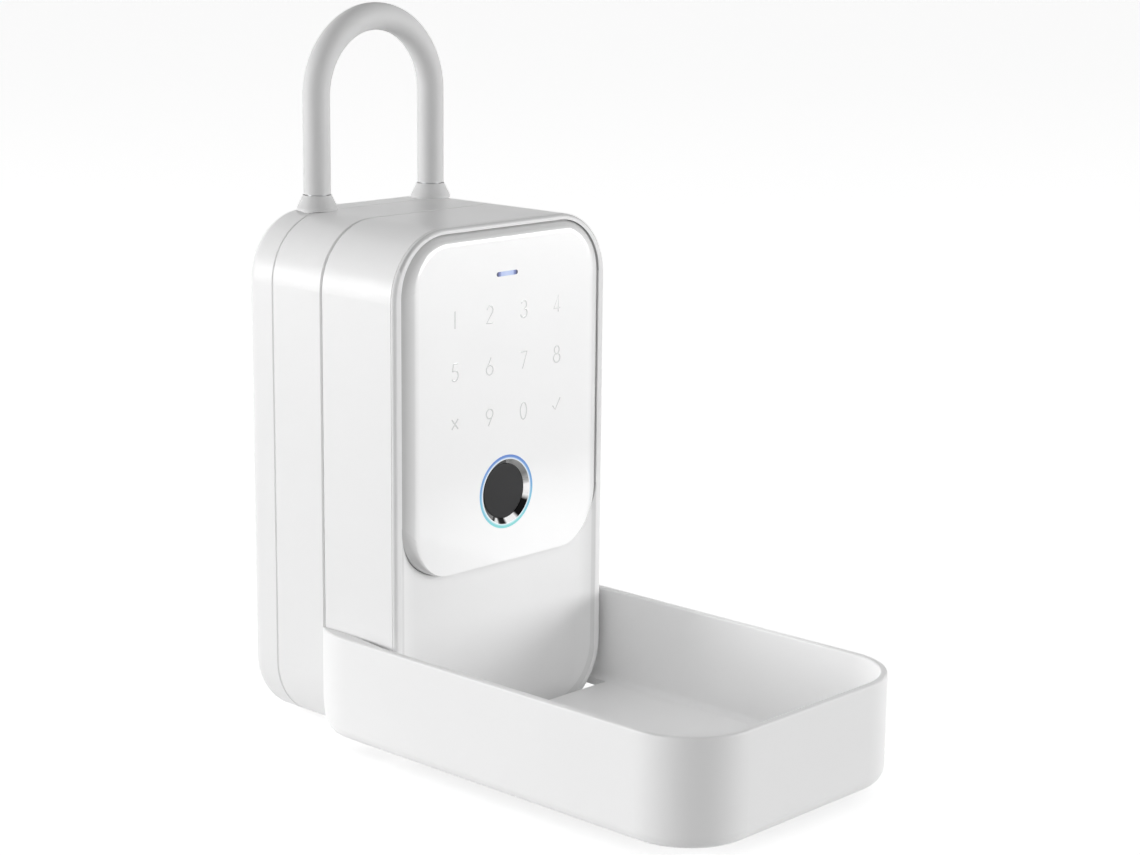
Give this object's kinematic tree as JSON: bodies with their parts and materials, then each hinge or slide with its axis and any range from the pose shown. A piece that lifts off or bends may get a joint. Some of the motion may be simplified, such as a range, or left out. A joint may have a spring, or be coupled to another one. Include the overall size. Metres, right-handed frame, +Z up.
{
  "type": "smart key lock box",
  "caption": "Key lock box with a lifting shackle, a hinged door with touch keypad and fingerprint reader, and a weather cover that flips down.",
  "frame": {"origin": "centre of the flat back face, which lies against the wall", "axes": "+X to the right as seen from the keypad side, +Y out of the back face, +Z up"},
  "size_m": [0.077, 0.1462, 0.1731],
  "materials": {
    "white_housing": "satin white",
    "white_cover": "satin white",
    "white_glass": "high gloss white",
    "grey_sleeve": "matt light grey",
    "grey_collar": "matt grey",
    "blue_light": "lit diffuser",
    "bright_metal": "bright plated",
    "dark_sensor": "smooth black",
    "hard_steel": "plain steel",
    "screw_steel": "zinc plated",
    "cast_zinc": "die cast",
    "seal_rubber": "matt dark",
    "inner_plastic": "fine texture",
    "dark_plastic": "moulded black",
    "cell_jacket": "printed steel can",
    "contact_metal": "nickel plated",
    "board_green": "solder mask",
    "chip_black": "moulded package",
    "motor_metal": "drawn can",
    "brass_gear": "cut brass"
  },
  "bodies": {
    "case": {"rear_cover": "white_housing", "mid_housing": "white_housing", "case_screws": "screw_steel", "door_seal": "seal_rubber", "bay_plate": "inner_plastic", "bay_plate_screws": "screw_steel", "latch_keeper": "hard_steel", "shackle_block": "cast_zinc", "block_screws": "screw_steel", "shackle_collars": "grey_collar", "key_hook": "bright_metal", "hook_screws": "screw_steel", "hinge_pin": "hard_steel"},
    "door": {"front_housing": "white_housing", "touch_panel": "white_glass", "status_light": "blue_light", "light_ring": "blue_light", "sensor_bezel": "bright_metal", "fingerprint_sensor": "dark_sensor", "control_board": "board_green", "board_chips": "chip_black", "inner_plate": "inner_plastic", "inner_plate_screws": "screw_steel", "battery_holder": "dark_plastic", "batteries": "cell_jacket", "battery_contacts": "contact_metal", "battery_lid": "inner_plastic", "battery_lid_screw": "screw_steel", "latch_chassis": "dark_plastic", "latch_motor": "motor_metal", "cover_pivot_pins": "hard_steel", "power_socket": "bright_metal"},
    "pinion": {"latch_pinion": "brass_gear"},
    "bolt": {"latch_bolt": "hard_steel"},
    "cover": {"flip_cover": "white_cover"},
    "shackle": {"shackle_core": "hard_steel", "shackle_sleeve": "grey_sleeve", "shackle_clip": "hard_steel"},
    "shackle_latch": {"lock_bar": "hard_steel", "release_tab": "dark_plastic"}
  },
  "joints": [
    {"name": "door_hinge", "type": "hinge", "parent": "case", "child": "door", "pos_m": [0.0364, -0.027, 0.0087], "axis": [0, 0, 1], "range_deg": [0, 100]},
    {"name": "cover_hinge", "type": "hinge", "parent": "door", "child": "cover", "pos_m": [0, -0.03825, -0.04205], "axis": [-1, 0, 0], "range_deg": [0, 90]},
    {"name": "bolt_slide", "type": "slide", "parent": "door", "child": "bolt", "axis": [-1, 0, 0], "range_m": [0, 0.005]},
    {"name": "pinion_spin", "type": "hinge", "parent": "door", "child": "pinion", "pos_m": [-0.008, -0.0398, 0.0302], "axis": [0, 0, 1], "range_deg": [0, 60]},
    {"name": "shackle_slide", "type": "slide", "parent": "case", "child": "shackle", "axis": [0, 0, 1], "range_m": [0, 0.021]},
    {"name": "lock_bar_slide", "type": "slide", "parent": "case", "child": "shackle_latch", "axis": [1, 0, 0], "range_m": [0, 0.0019]}
  ],
  "couplings": [
    {"joint": "pinion_spin", "follows": "bolt_slide", "rad_per_m": 208.33}
  ]
}
